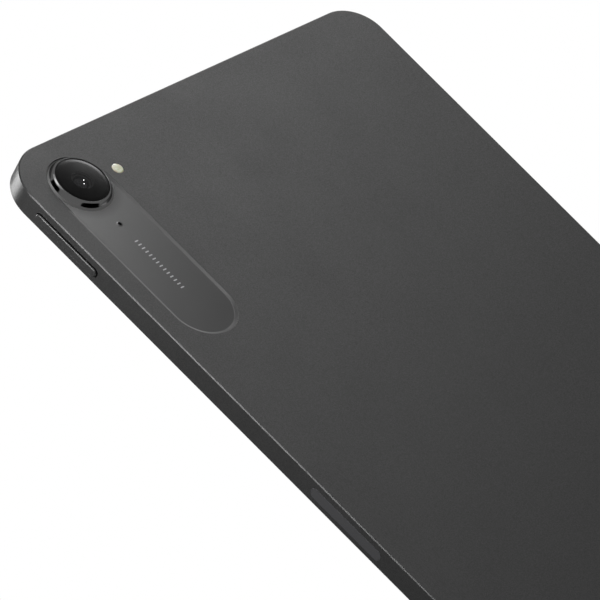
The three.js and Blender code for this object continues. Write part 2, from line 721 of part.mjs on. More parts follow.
function drilledBoard({ x, y, width, length }, screws, bottom) {
  const outline = roundedRectangle(width, length, 1.5, x, y);
  for (const at of screws) outline.holes.push(disc(0.8, at.x, at.y));
  return prism(outline, "z", bottom, bottom + BOARD_THICKNESS, 3);
}

// A pressed can over a chip, open towards the board.
function shieldCan(name, x, y, width, length) {
  const front = 3.1;
  const back = MAIN_BOARD_Z - SEAT;
  const sheet = 0.2;
  const outside = prism(roundedRectangle(width, length, 0.8, x, y), "z", front, back);
  const hollow = rectangle(width - 2 * sheet, length - 2 * sheet, x, y);
  piece(name, cut(outside, prism(hollow, "z", front + sheet, back + 1)), FINISH.steel);
}

function mainBoard() {
  piece("main_board", drilledBoard(MAIN_BOARD, MAIN_BOARD_SCREWS, MAIN_BOARD_Z), FINISH.circuitBoard);
  const processorX = -14;
  shieldCan("processor_shield", processorX, MAIN_BOARD.y, 32, 22);
  const chip = prism(rectangle(14, 14, processorX, MAIN_BOARD.y), "z", 3.5, MAIN_BOARD_Z - SEAT);
  piece("processor", chip, FINISH.blackPlastic);
  shieldCan("power_shield", 28, MAIN_BOARD.y, 24, 18);
  const spreader = roundedRectangle(46, 24, 2, processorX + 5, MAIN_BOARD.y);
  piece("heat_spreader", prism(spreader, "z", INNER_BACK - 0.15, INNER_BACK - SEAT), FINISH.graphite);
  MAIN_BOARD_SCREWS.forEach((at) => screw(at, MAIN_BOARD_Z));
}

function usbPort() {
  const front = -HALF_LENGTH + 0.3;
  const back = front + USB.depth;
  const outside = prism(pill(USB.width, USB.height, 0, USB.z), "y", front, back, 4);
  const mouth = pill(USB.width - 2 * USB.wall, USB.height - 2 * USB.wall, 0, USB.z);
  const hollow = prism(mouth, "y", front - 1, back - 0.8, 4);
  const tongue = prism(rectangle(6.7, 0.7, 0, USB.z), "y", front + 0.8, back - 0.4);
  piece("usb_c_port", join(cut(outside, hollow), tongue), FINISH.steel);
}

function lowerBoard() {
  usbPort();
  piece("usb_board", drilledBoard(USB_BOARD, USB_BOARD_SCREWS, USB_BOARD_Z), FINISH.circuitBoard);
  USB_BOARD_SCREWS.forEach((at) => screw(at, USB_BOARD_Z));
  const microphone = prism(roundedRectangle(2.8, 2.4, 0.3, 11, USB.z), "y", -INNER_Y + 0.3, -INNER_Y + 1.3);
  piece("bottom_microphone", microphone, FINISH.steel);
  const start = USB_BOARD.y - 2;
  const end = MAIN_BOARD.y - MAIN_BOARD.length / 2 + 3;
  const ribbon = rectangle(5, end - start, 0, (start + end) / 2);
  piece("board_link_cable", prism(ribbon, "z", 6.12, 6.3), FINISH.flex);
}

// ---------------------------------------------------------------- speakers

const SPEAKERS = [
  { place: "top_left", x: -SPEAKER.x, side: 1 },
  { place: "top_right", x: SPEAKER.x, side: 1 },
  { place: "bottom_left", x: -SPEAKER.x, side: -1 },
  { place: "bottom_right", x: SPEAKER.x, side: -1 },
];
const SPEAKER_MESH = 0.15;

function speaker({ place, x, side }) {
  const wall = INNER_Y - 0.5;
  const middle = side * (wall - SPEAKER.depth / 2);
  const box = prism(roundedRectangle(SPEAKER.width, SPEAKER.depth, 1.2, x, middle), "z", 2.75, 6.15);
  const mouth = side * wall;
  const depth = 2;
  const port = pill(22, 2, x, SPEAKER_SLOT_Z);
  const ends = [mouth - side * depth, mouth + side];
  const chamber = prism(port, "y", Math.min(...ends), Math.max(...ends));
  piece(`speaker_${place}`, cut(box, chamber), FINISH.blackPlastic);

  const meshOuter = side * (INNER_Y - 0.1);
  const meshInner = meshOuter - side * SPEAKER_MESH;
  const sheet = pill(25, 2.6, x, SPEAKER_SLOT_Z);
  const start = Math.min(meshOuter, meshInner);
  piece(`speaker_mesh_${place}`, prism(sheet, "y", start, start + SPEAKER_MESH), FINISH.mesh);
}

// ---------------------------------------------------------------- memory card tray

// The tray slides out along +X: a flush plug in the wall, with an open bed behind it.
function cardTray() {
  const outer = HALF_WIDTH;
  const plugInner = outer - 2.1;
  const plug = prism(pill(TRAY.length, TRAY.height, TRAY.y, TRAY.z), "x", plugInner, outer, 3);
  const bedEnd = outer - TRAY.reach;
  const bedOutline = rectangle(TRAY.bedWidth, TRAY.bedThickness, TRAY.y, TRAY.z);
  const bed = prism(bedOutline, "x", bedEnd, plugInner + 0.5);
  const card = prism(rectangle(15.4, 11.2, plugInner - 8.9, TRAY.y), "z", TRAY.z - 0.25, TRAY.z + 2);
  const pinhole = prism(disc(0.4, TRAY.y - 4.4, TRAY.z), "x", plugInner - 1, outer + 1, 3);
  piece("card_tray", cut(join(plug, bed), card, pinhole), FINISH.key);
}

function cardReader() {
  const start = HALF_WIDTH - TRAY.reach - 2;
  const end = INNER_X - 0.4;
  const width = TRAY.bedWidth + 1.4;
  const shell = rectangle(width, 1.9, TRAY.y, TRAY.z - 0.02);
  const channel = rectangle(TRAY.bedWidth + 0.4, TRAY.bedThickness + 0.2, TRAY.y, TRAY.z);
  const reader = cut(prism(shell, "x", start, end), prism(channel, "x", start + 0.6, end + 1));
  piece("card_reader", reader, FINISH.steel);
}

// ---------------------------------------------------------------- the tablet

rearHousing();
accentPanel();
rearCamera();
flash();
panelElectronics();
volumeRocker();
powerButton();
stylusCharging();
display();
displayFlex();
frontCamera();
batteries();
mainBoard();
lowerBoard();
SPEAKERS.forEach(speaker);
cardTray();
cardReader();

export default tablet;
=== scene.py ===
"""A tablet computer lying face down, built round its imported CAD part. Metres, back up, camera end at +Y."""

import json
import math

import bmesh
import bpy
from mathutils import Matrix, Vector
from mathutils.geometry import interpolate_bezier


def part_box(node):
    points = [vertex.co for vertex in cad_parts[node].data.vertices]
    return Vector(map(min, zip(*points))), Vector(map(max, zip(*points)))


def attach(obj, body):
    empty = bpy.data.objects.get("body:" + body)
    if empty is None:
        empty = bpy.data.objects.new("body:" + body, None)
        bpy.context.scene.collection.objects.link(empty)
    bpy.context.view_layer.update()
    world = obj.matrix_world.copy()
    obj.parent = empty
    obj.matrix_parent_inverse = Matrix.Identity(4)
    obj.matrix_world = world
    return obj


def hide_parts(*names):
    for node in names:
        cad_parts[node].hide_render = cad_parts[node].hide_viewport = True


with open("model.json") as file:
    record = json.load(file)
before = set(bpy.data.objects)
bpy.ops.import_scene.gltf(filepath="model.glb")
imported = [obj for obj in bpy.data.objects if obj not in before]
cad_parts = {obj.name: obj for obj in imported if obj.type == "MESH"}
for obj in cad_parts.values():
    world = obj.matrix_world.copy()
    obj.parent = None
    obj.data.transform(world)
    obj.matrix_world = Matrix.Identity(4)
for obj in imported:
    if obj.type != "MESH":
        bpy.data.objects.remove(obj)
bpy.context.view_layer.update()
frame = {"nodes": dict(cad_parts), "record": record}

MM = 0.001

# ---------------------------------------------------------------- sizes taken from the CAD frame

HOUSING_LOW, HOUSING_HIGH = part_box("rear_housing")
HALF_WIDTH = (HOUSING_HIGH.x - HOUSING_LOW.x) / 2
HALF_LENGTH = (HOUSING_HIGH.y - HOUSING_LOW.y) / 2
FRONT = HOUSING_LOW.z
BACK = HOUSING_HIGH.z

RING_LOW, RING_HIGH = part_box("camera_ring")
CAMERA_X = (RING_LOW.x + RING_HIGH.x) / 2
CAMERA_Y = (RING_LOW.y + RING_HIGH.y) / 2
FLANGE_RADIUS = (RING_HIGH.x - RING_LOW.x) / 2
RING_TOP = RING_HIGH.z

PANEL_LOW, PANEL_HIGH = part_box("accent_panel")
PANEL_HALF_WIDTH = (PANEL_HIGH.x - PANEL_LOW.x) / 2
PANEL_END_Y = PANEL_LOW.y + PANEL_HALF_WIDTH
PANEL_BOTTOM = PANEL_LOW.z
PANEL_RIM = PANEL_HIGH.z

# ---------------------------------------------------------------- driving dimensions

LEFT_CORNER = 16 * MM  # the corners on the rocker's side are rounder than the other two
RIGHT_CORNER = 12.2 * MM
EDGE_CHAMFER = 0.35 * MM
SIDE_WALL = 2.4 * MM
GLASS_LIP = 0.55 * MM
GLASS_LEDGE = 0.75 * MM
INNER_BACK = BACK - 0.9 * MM
SOFT_EDGE = 0.06 * MM  # rounding of a crisp machined edge
SLOT_FLARE = 0.14 * MM  # how far a slot's mouth opens at the wall's face

PANEL_FLOOR = BACK - 0.4 * MM
PANEL_SLOPE = 1.05 * MM
PANEL_RIM_WIDTH = 0.1 * MM
PANEL_NECK_RADIUS = 10.95 * MM
MICROPHONE_Y = HALF_LENGTH - 36.2 * MM
HOLE_RADIUS = 0.65 * MM

RING_RADIUS = 9.6 * MM
WALL_FOOT_RADIUS = 10.25 * MM  # the ring's wall leans out towards its foot
FLANGE_TOP = BACK + 0.1 * MM
FLANGE_EDGE = BACK - 0.32 * MM
COVER_RADIUS = 8.85 * MM
COVER_TOP = RING_TOP - 0.2 * MM
COVER_BOTTOM = COVER_TOP - 0.6 * MM

KEY_CLEARANCE = 0.22 * MM

ARC_STEPS = 48  # segments in a quarter of a large round corner
SMALL_ARC_STEPS = 12
LATHE_STEPS = 192

# ---------------------------------------------------------------- outlines


def arc(centre_x, centre_y, radius, start, end, steps):
    """Points along an arc, with the angles in degrees."""
    points = []
    for i in range(steps + 1):
        angle = math.radians(start + (end - start) * i / steps)
        points.append((centre_x + radius * math.cos(angle), centre_y + radius * math.sin(angle)))
    return points


def frame_outline(inset):
    """The tablet's outline, drawn in by an inset on every side."""
    left_x = HALF_WIDTH - LEFT_CORNER
    left_y = HALF_LENGTH - LEFT_CORNER
    right_x = HALF_WIDTH - RIGHT_CORNER
    right_y = HALF_LENGTH - RIGHT_CORNER
    return (
        arc(right_x, -right_y, RIGHT_CORNER - inset, -90, 0, ARC_STEPS)
        + arc(right_x, right_y, RIGHT_CORNER - inset, 0, 90, ARC_STEPS)
        + arc(-left_x, left_y, LEFT_CORNER - inset, 90, 180, ARC_STEPS)
        + arc(-left_x, -left_y, LEFT_CORNER - inset, 180, 270, ARC_STEPS)
    )


def pill(length, height, grow=0.0, steps=SMALL_ARC_STEPS):
    radius = height / 2 + grow
    reach = (length - height) / 2
    return arc(reach, 0, radius, -90, 90, 2 * steps) + arc(-reach, 0, radius, 90, 270, 2 * steps)


def rectangle(length, width):
    x = length / 2
    y = width / 2
    return [(-x, -y), (x, -y), (x, y), (-x, y)]


def curve_between(start, start_handle, end_handle, end, steps=SMALL_ARC_STEPS):
    ends = [Vector((*point, 0)) for point in (start, start_handle, end_handle, end)]
    points = interpolate_bezier(*ends, steps + 1)
    return [(point.x, point.y) for point in points[1:-1]]


def panel_outline(inset):
    """A pill whose far end narrows at two shoulders to hug the camera ring. The ring's axis is at (0, 0)."""
    half = PANEL_HALF_WIDTH - inset
    neck = PANEL_NECK_RADIUS - inset
    end_y = PANEL_END_Y - CAMERA_Y
    shoulder_y = -3 * MM
    pull = 3 * MM
    neck_angle = 20
    turn = math.radians(neck_angle)
    neck_x = neck * math.cos(turn)
    neck_y = neck * math.sin(turn)
    handle_x = neck_x + pull * math.sin(turn)
    handle_y = neck_y - pull * math.cos(turn)
    right = curve_between(
        (half, shoulder_y), (half, shoulder_y + pull), (handle_x, handle_y), (neck_x, neck_y)
    )
    left = [(-x, y) for x, y in reversed(right)]
    return (
        arc(0, end_y, half, 180, 360, 2 * ARC_STEPS)
        + [(half, shoulder_y)]
        + right
        + arc(0, 0, neck, neck_angle, 180 - neck_angle, 2 * ARC_STEPS)
        + left
        + [(-half, shoulder_y)]
    )


def rounded(profile, radius, steps=3, closed=False):
    """The profile with each of its corners rounded off."""
    count = len(profile)
    result = []
    for i, corner in enumerate(profile):
        if not closed and i in (0, count - 1):
            result.append(tuple(corner))
            continue
        here = Vector(corner)
        before = Vector(profile[i - 1]) - here
        after = Vector(profile[(i + 1) % count]) - here
        reach = min(radius, before.length * 0.45, after.length * 0.45)
        start = here + before.normalized() * reach
        end = here + after.normalized() * reach
        for step in range(steps + 1):
            t = step / steps
            point = start * (1 - t) ** 2 + here * 2 * t * (1 - t) + end * t**2
            result.append((point.x, point.y))
    return result


# ---------------------------------------------------------------- meshes


def mesh_object(name, vertices, faces):
    mesh = bpy.data.meshes.new(name)
    mesh.from_pydata(vertices, [], faces)
    faces_out = bmesh.new()
    faces_out.from_mesh(mesh)
    bmesh.ops.recalc_face_normals(faces_out, faces=faces_out.faces)
    faces_out.to_mesh(mesh)
    faces_out.free()
    piece = bpy.data.objects.new(name, mesh)
    bpy.context.scene.collection.objects.link(piece)
    return piece


def loft(name, rings, loop=False):
    """A closed surface through rings of points: capped at both ends, or joined end to end as a loop."""
    count = len(rings[0])
    vertices = [point for ring in rings for point in ring]
    faces = []
    for k in range(len(rings) if loop else len(rings) - 1):
        low = k * count
        high = (k + 1) % len(rings) * count
        for i in range(count):
            j = (i + 1) % count
            faces.append((low + i, low + j, high + j, high + i))
    if not loop:
        faces.append(tuple(reversed(range(count))))
        faces.append(tuple(range(len(vertices) - count, len(vertices))))
    return mesh_object(name, vertices, faces)


def stack(name, outline, profile, place=Matrix.Identity(4)):
    """outline(inset) drawn at each (inset, height) of the profile, and joined up."""
    rings = []
    for inset, height in profile:
        rings.append([place @ Vector((x, y, height)) for x, y in outline(inset)])
    return loft(name, rings)


def lathe(name, profile, centre, loop=False, steps=LATHE_STEPS):
    """The (radius, height) profile turned round a vertical axis."""
    rings = []
    for radius, height in profile:
        ring = []
        for i in range(steps):
            angle = 2 * math.pi * i / steps
            x = centre[0] + radius * math.cos(angle)
            y = centre[1] + radius * math.sin(angle)
            ring.append(Vector((x, y, height)))
        rings.append(ring)
    return loft(name, rings, loop)


def baked(piece):
    """The piece with its modifiers turned into plain mesh."""
    graph = bpy.context.evaluated_depsgraph_get()
    mesh = bpy.data.meshes.new_from_object(piece.evaluated_get(graph))
    piece.modifiers.clear()
    piece.data = mesh
    return piece


def cut(piece, cutters):
    for cutter in cutters:
        modifier = piece.modifiers.new("cut", "BOOLEAN")
        modifier.operation = "DIFFERENCE"
        modifier.solver = "EXACT"
        modifier.object = cutter
    baked(piece)
    for cutter in cutters:
        bpy.data.objects.remove(cutter)
    return piece


def unite(piece, other):
    modifier = piece.modifiers.new("join", "BOOLEAN")
    modifier.operation = "UNION"
    modifier.solver = "EXACT"
    modifier.object = other
    baked(piece)
    bpy.data.objects.remove(other)


def smooth(piece, sharp_angle=32):
    """Smooth shading that leaves the large flat faces flat."""
    mesh = piece.data
    mesh.shade_smooth()
    mesh.set_sharp_from_angle(angle=math.radians(sharp_angle))
    modifier = piece.modifiers.new("weighted normals", "WEIGHTED_NORMAL")
    modifier.keep_sharp = True
    modifier.weight = 100
    return piece


def finished(piece, body, material, *cad_nodes):
    """Rides the piece on its body, gives it its material, and hides the CAD nodes that it stands for."""
    piece.data.materials.clear()
    piece.data.materials.append(material)
    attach(piece, body)
    if cad_nodes:
        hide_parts(*cad_nodes)
    return piece


def wall_frame(normal, x, y, z):
    """Places a drawing on a side wall: its length along the wall, and its +Z out of the wall."""
    outward = Vector(normal)
    height = Vector((0, 0, 1))
    along = height.cross(outward)
    axes = Matrix((along, height, outward)).transposed()
    return Matrix.Translation((x, y, z)) @ axes.to_4x4()


def slot_cutter(length, height, place, depth=4 * MM):
    """Cuts a pill-shaped slot whose mouth flares a little at the wall's face."""
    profile = [
        (-2 * SLOT_FLARE, 1.2 * SLOT_FLARE),
        (-SLOT_FLARE, 0.2 * SLOT_FLARE),
        (-0.4 * SLOT_FLARE, -0.3 * SLOT_FLARE),
        (-0.1 * SLOT_FLARE, -0.8 * SLOT_FLARE),
        (0, -1.4 * SLOT_FLARE),
        (0, -depth),
    ]
    return stack("slot", lambda inset: pill(length, height, -inset), profile, place)


# ---------------------------------------------------------------- node materials


class Shader:
    """A short way to write a node material."""

    def __init__(self, name, **settings):
        self.material = bpy.data.materials.new(name)
        self.material.use_nodes = True
        self.nodes = self.material.node_tree.nodes
        self.links = self.material.node_tree.links
        self.surface = self.nodes["Principled BSDF"]
        for key, value in settings.items():
            self.set(key.replace("_", " ").title().replace("Ior", "IOR"), value)
        self.place = self.nodes.new("ShaderNodeTexCoord").outputs["Object"]

    def set(self, key, value):
        socket = self.surface.inputs[key]
        if isinstance(value, bpy.types.NodeSocket):
            self.links.new(value, socket)
        elif socket.type == "RGBA":
            socket.default_value = (*value, 1)
        else:
            socket.default_value = value

    def node(self, kind, inputs=None, **properties):
        node = self.nodes.new(kind)
        for key, value in properties.items():
            setattr(node, key, value)
        for key, value in (inputs or {}).items():
            if isinstance(value, bpy.types.NodeSocket):
                self.links.new(value, node.inputs[key])
            else:
                node.inputs[key].default_value = value
        return node

    def math(self, operation, a, b=0.0):
        return self.node("ShaderNodeMath", {0: a, 1: b}, operation=operation).outputs[0]

    def noise(self, size, detail=3.0, stretch=(1, 1, 1)):
        """Noise whose features are about size metres across."""
        scaled = self.node(
            "ShaderNodeVectorMath", {0: self.place, 1: stretch}, operation="MULTIPLY"
        ).outputs[0]
        settings = {"Vector": scaled, "Scale": 1 / size, "Detail": detail, "Roughness": 0.6}
        return self.node("ShaderNodeTexNoise", settings).outputs["Fac"]

    def between(self, value, low, high, start=0.3, end=0.7):
        settings = {"Value": value, "From Min": start, "From Max": end, "To Min": low, "To Max": high}
        return self.node("ShaderNodeMapRange", settings).outputs["Result"]

    def mix(self, factor, first, second):
        node = self.nodes.new("ShaderNodeMix")
        node.data_type = "RGBA"
        for index, value in ((0, factor), (6, first), (7, second)):
            if isinstance(value, bpy.types.NodeSocket):
                self.links.new(value, node.inputs[index])
            elif index == 0:
                node.inputs[0].default_value = value
            else:
                node.inputs[index].default_value = (*value, 1)
        return node.outputs[2]

    def tinted(self, colour, low, high, value):
        """The colour, lightened and darkened by a value."""
        dark = tuple(channel * low for channel in colour)
        light = tuple(channel * high for channel in colour)
        return self.mix(value, dark, light)

    def bump(self, height, strength, distance):
        settings = {"Height": height, "Strength": strength, "Distance": distance}
        self.set("Normal", self.node("ShaderNodeBump", settings).outputs["Normal"])

    def distance_from_camera_axis(self):
        flat = self.node(
            "ShaderNodeVectorMath", {0: self.place, 1: (1, 1, 0)}, operation="MULTIPLY"
        ).outputs[0]
        centre = (CAMERA_X, CAMERA_Y, 0)
        return self.node("ShaderNodeVectorMath", {0: flat, 1: centre}, operation="DISTANCE").outputs["Value"]

    def wear(self, size):
        """1 on edges sharper than the given size, 0 on flat faces."""
        rounded_normal = self.node("ShaderNodeBevel", {"Radius": size}, samples=4).outputs["Normal"]
        normal = self.nodes.new("ShaderNodeNewGeometry").outputs["Normal"]
        dot = self.node("ShaderNodeVectorMath", {0: rounded_normal, 1: normal}, operation="DOT_PRODUCT")
        return self.between(dot.outputs["Value"], 1, 0, 0.9, 0.995)


def anodised_metal(name, colour, blasted, machined, grain=0.28 * MM, contrast=0.3):
    """Dyed aluminium: a fine grain, rougher on the blasted back than on the machined walls."""
    shader = Shader(name, metallic=0.85)
    fine = shader.noise(grain, 4)
    cloud = shader.noise(18 * MM, 3)
    tone = shader.tinted(colour, 1 - contrast, 1 + contrast, shader.between(fine, 0, 1))
    shader.set("Base Color", tone)
    normal = shader.nodes.new("ShaderNodeNewGeometry").outputs["Normal"]
    facing = shader.node("ShaderNodeSeparateXYZ", {0: normal}).outputs["Z"]
    roughness = shader.between(facing, machined, blasted, 0.8, 0.95)
    shader.set("Roughness", shader.math("ADD", roughness, shader.between(cloud, -0.02, 0.02)))
    shader.bump(fine, 0.25, 0.01 * MM)
    return shader.material


HOUSING_COLOUR = (0.076, 0.076, 0.076)
BLASTED = 0.62  # roughness of the back
MACHINED = 0.315  # roughness of the walls, the chamfer and the keys

# ---------------------------------------------------------------- the housing

KEY_LOW, KEY_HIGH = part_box("volume_rocker")
POWER_LOW, POWER_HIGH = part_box("power_button")
TRAY_LOW, TRAY_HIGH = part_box("card_tray")
WINDOW_LOW, WINDOW_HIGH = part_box("stylus_charging_window")
USB_LOW, USB_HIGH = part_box("usb_c_port")

KEY_HEIGHT = 2.7 * MM
KEY_Z = (KEY_LOW.z + KEY_HIGH.z) / 2
KEY_PROUD = HOUSING_LOW.x - KEY_LOW.x
KEY_TABS = 2.4 * MM  # a key's retaining flange is longer than its head by this much
ROCKER_LENGTH = KEY_HIGH.y - KEY_LOW.y - KEY_TABS
ROCKER_Y = (KEY_LOW.y + KEY_HIGH.y) / 2
POWER_LENGTH = POWER_HIGH.x - POWER_LOW.x - KEY_TABS
POWER_X = (POWER_LOW.x + POWER_HIGH.x) / 2

LEFT_WALL = (-1, 0, 0)
RIGHT_WALL = (1, 0, 0)
CAMERA_END = (0, 1, 0)
PORT_END = (0, -1, 0)


def middle(low, high, axis):
    return (low[axis] + high[axis]) / 2


ROCKER_PLACE = wall_frame(LEFT_WALL, -HALF_WIDTH, ROCKER_Y, KEY_Z)
POWER_PLACE = wall_frame(CAMERA_END, POWER_X, HALF_LENGTH, KEY_Z)
TRAY_PLACE = wall_frame(RIGHT_WALL, HALF_WIDTH, middle(TRAY_LOW, TRAY_HIGH, 1), middle(TRAY_LOW, TRAY_HIGH, 2))
WINDOW_PLACE = wall_frame(
    LEFT_WALL, -HALF_WIDTH, middle(WINDOW_LOW, WINDOW_HIGH, 1), middle(WINDOW_LOW, WINDOW_HIGH, 2)
)
USB_PLACE = wall_frame(PORT_END, 0, -HALF_LENGTH, middle(USB_LOW, USB_HIGH, 2))

SPEAKER_SLOTS = 5
SPEAKER_PITCH = 4.6 * MM
SPEAKER_SLOT = (3.4 * MM, 1.5 * MM)


def speaker_cutters():
    cutters = []
    for place in ("top_left", "top_right", "bottom_left", "bottom_right"):
        low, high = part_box("speaker_mesh_" + place)
        end = 1 if low.y > 0 else -1
        for i in range(SPEAKER_SLOTS):
            x = middle(low, high, 0) + (i - (SPEAKER_SLOTS - 1) / 2) * SPEAKER_PITCH
            matrix = wall_frame((0, end, 0), x, end * HALF_LENGTH, middle(low, high, 2))
            cutters.append(slot_cutter(*SPEAKER_SLOT, matrix))
    return cutters


def joined(cutters):
    """Cutters that don't touch one another, as a single mesh."""
    vertices = []
    faces = []
    for cutter in cutters:
        offset = len(vertices)
        vertices += [vertex.co.copy() for vertex in cutter.data.vertices]
        faces += [[offset + index for index in face.vertices] for face in cutter.data.polygons]
        bpy.data.objects.remove(cutter)
    return mesh_object("cutters", vertices, faces)


def wall_cutters():
    key_height = KEY_HEIGHT + 2 * KEY_CLEARANCE
    tray_height = TRAY_HIGH.z - TRAY_LOW.z + 0.16 * MM
    tray_length = TRAY_HIGH.y - TRAY_LOW.y + 0.16 * MM
    window_length = WINDOW_HIGH.y - WINDOW_LOW.y + 0.06 * MM
    window_height = WINDOW_HIGH.z - WINDOW_LOW.z + 0.06 * MM
    window_depth = WINDOW_HIGH.x - WINDOW_LOW.x + 0.03 * MM
    usb_length = USB_HIGH.x - USB_LOW.x + 0.12 * MM
    usb_height = USB_HIGH.z - USB_LOW.z + 0.12 * MM
    hole = 2 * HOLE_RADIUS
    microphone = wall_frame(PORT_END, 11 * MM, -HALF_LENGTH, middle(USB_LOW, USB_HIGH, 2))
    return [
        slot_cutter(ROCKER_LENGTH + 2 * KEY_CLEARANCE, key_height, ROCKER_PLACE),
        slot_cutter(POWER_LENGTH + 2 * KEY_CLEARANCE, key_height, POWER_PLACE),
        slot_cutter(tray_length, tray_height, TRAY_PLACE),
        slot_cutter(usb_length, usb_height, USB_PLACE),
        slot_cutter(hole, hole, microphone),
        stack(
            "window seat",
            lambda inset: pill(window_length, window_height, -inset),
            [(0, 1 * MM), (0, -window_depth)],
            WINDOW_PLACE,
        ),
    ]


def panel_seat_cutter():
    gap = 0.02 * MM
    profile = [(-gap, BACK + 1 * MM), (-gap, PANEL_BOTTOM - 0.03 * MM)]
    return stack("panel seat", panel_outline, profile, Matrix.Translation((CAMERA_X, CAMERA_Y, 0)))


def back_hole_cutters():
    flash_low, flash_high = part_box("flash_lens")
    flash_radius = (flash_high.x - flash_low.x) / 2 + 0.05 * MM
    flash_centre = (middle(flash_low, flash_high, 0), middle(flash_low, flash_high, 1))
    deep = INNER_BACK - 1 * MM
    high = BACK + 1 * MM
    camera = lathe("camera hole", [(8.8 * MM, high), (8.8 * MM, deep)], (CAMERA_X, CAMERA_Y))
    microphone = lathe(
        "sound hole", [(HOLE_RADIUS, high), (HOLE_RADIUS, deep)], (CAMERA_X, MICROPHONE_Y), steps=32
    )
    flare = 0.08 * MM
    flash = lathe(
        "flash hole",
        [
            (flash_radius + flare, high),
            (flash_radius + flare, BACK),
            (flash_radius, BACK - flare),
            (flash_radius, deep),
        ],
        flash_centre,
        steps=64,
    )
    return [camera, microphone, flash]


def housing_profile():
    """The wall's section as (inset, height), from the pocket's ceiling round the outside to the back."""
    section = [
        (SIDE_WALL, INNER_BACK),
        (SIDE_WALL, GLASS_LEDGE),
        (GLASS_LIP, GLASS_LEDGE),
        (GLASS_LIP, FRONT),
        (0, FRONT),
        (0, BACK - EDGE_CHAMFER),
        (EDGE_CHAMFER, BACK),
        (EDGE_CHAMFER + 0.5 * MM, BACK),
    ]
    return rounded(section, SOFT_EDGE)


def rear_housing():
    shell = stack("housing_shell", frame_outline, housing_profile())
    cutters = [panel_seat_cutter(), joined(back_hole_cutters()), joined(wall_cutters() + speaker_cutters())]
    cut(shell, cutters)
    smooth(shell)
    metal = anodised_metal("anodised housing", HOUSING_COLOUR, BLASTED, MACHINED)
    return finished(shell, "tablet", metal, "rear_housing")


# ---------------------------------------------------------------- accent panel


def satin_panel():
    shader = Shader("satin panel", metallic=0.6)
    fine = shader.noise(0.12 * MM, 3)
    tone = shader.tinted((0.041, 0.041, 0.041), 0.96, 1.04, shader.between(fine, 0, 1))
    # Painted shadow: the panel's colour darkens close to the camera ring, standing in for the ring's soft shadow on
    # it.
    painted_ring_shadow = shader.between(
        shader.distance_from_camera_axis(), 1, 0, FLANGE_RADIUS - 0.5 * MM, FLANGE_RADIUS + 3.5 * MM
    )
    shader.set("Base Color", shader.mix(painted_ring_shadow, tone, (0.014, 0.014, 0.014)))
    shader.set("Roughness", shader.between(shader.noise(9 * MM), 0.29, 0.31))
    shader.bump(fine, 0.08, 0.004 * MM)
    return shader.material


def accent_panel():
    place = Matrix.Translation((CAMERA_X, CAMERA_Y, 0))
    section = [
        (0.02 * MM, PANEL_BOTTOM),
        (0, PANEL_RIM),
        (PANEL_RIM_WIDTH, PANEL_RIM),
        (PANEL_RIM_WIDTH + PANEL_SLOPE, PANEL_FLOOR),
        (PANEL_RIM_WIDTH + PANEL_SLOPE + 0.4 * MM, PANEL_FLOOR),
    ]
    panel = stack("accent_panel_dish", panel_outline, rounded(section, SOFT_EDGE), place)
    neck = lathe(
        "neck",
        [(PANEL_NECK_RADIUS + 0.15 * MM, BACK + 1 * MM), (PANEL_NECK_RADIUS + 0.15 * MM, PANEL_FLOOR)],
        (CAMERA_X, CAMERA_Y),
    )
    camera_hole = lathe("camera hole", [(8.85 * MM, BACK + 1 * MM), (8.85 * MM, 0)], (CAMERA_X, CAMERA_Y))
    microphone = (CAMERA_X, MICROPHONE_Y)
    lip_height = 0.18 * MM
    lip = lathe(
        "raised lip",
        [
            (0.02 * MM, PANEL_FLOOR - 0.1 * MM),
            (HOLE_RADIUS + 0.55 * MM, PANEL_FLOOR - 0.1 * MM),
            (HOLE_RADIUS + 0.55 * MM, PANEL_FLOOR),
            (HOLE_RADIUS + 0.05 * MM, PANEL_FLOOR + lip_height),
            (0.02 * MM, PANEL_FLOOR + lip_height),
        ],
        microphone,
        steps=48,
    )
    unite(panel, lip)
    sound_hole = lathe("sound hole", [(HOLE_RADIUS, BACK + 1 * MM), (HOLE_RADIUS, 0)], microphone, steps=48)
    cut(panel, [neck, joined([camera_hole, sound_hole])])
    smooth(panel, 20)
    return finished(panel, "tablet", satin_panel(), "accent_panel")


def printed_marks():
    """A row of plain printed bars down the middle of the panel."""
    count = 14
    pitch = 1.6 * MM
    top = PANEL_FLOOR + 0.012 * MM
    bars = []
    for i in range(count):
        y = HALF_LENGTH - 43.9 * MM - i * pitch
        place = Matrix.Translation((CAMERA_X, y, 0))
        bar = [(0, PANEL_FLOOR + 0.001 * MM), (0, top)]
        bars.append(stack("bar", lambda inset: pill(1.5 * MM, 0.42 * MM, -inset, 4), bar, place))
    marks = joined(bars)
    marks.name = "panel_marks"
    shader = Shader("pale ink", roughness=0.5)
    blotch = shader.between(shader.noise(0.2 * MM), 0, 1)
    shader.set("Base Color", shader.tinted((0.42, 0.42, 0.43), 0.85, 1.1, blotch))
    return finished(marks, "tablet", shader.material)


# ---------------------------------------------------------------- camera


def polished_ring_metal():
    shader = Shader("polished ring", metallic=1.0, roughness=0.16)
    streaks = shader.noise(0.3 * MM, 3)
    shader.set("Base Color", shader.tinted((0.42, 0.42, 0.42), 0.95, 1.05, shader.between(streaks, 0, 1)))
    height = shader.node("ShaderNodeSeparateXYZ", {0: shader.place}).outputs["Z"]
    satin = shader.between(height, 0.5, 0, BACK + 0.05 * MM, BACK + 0.2 * MM)
    polish = shader.between(shader.noise(2 * MM), 0.08, 0.12)
    shader.set("Roughness", shader.math("MAXIMUM", polish, satin))
    shader.bump(streaks, 0.04, 0.002 * MM)
    return shader.material


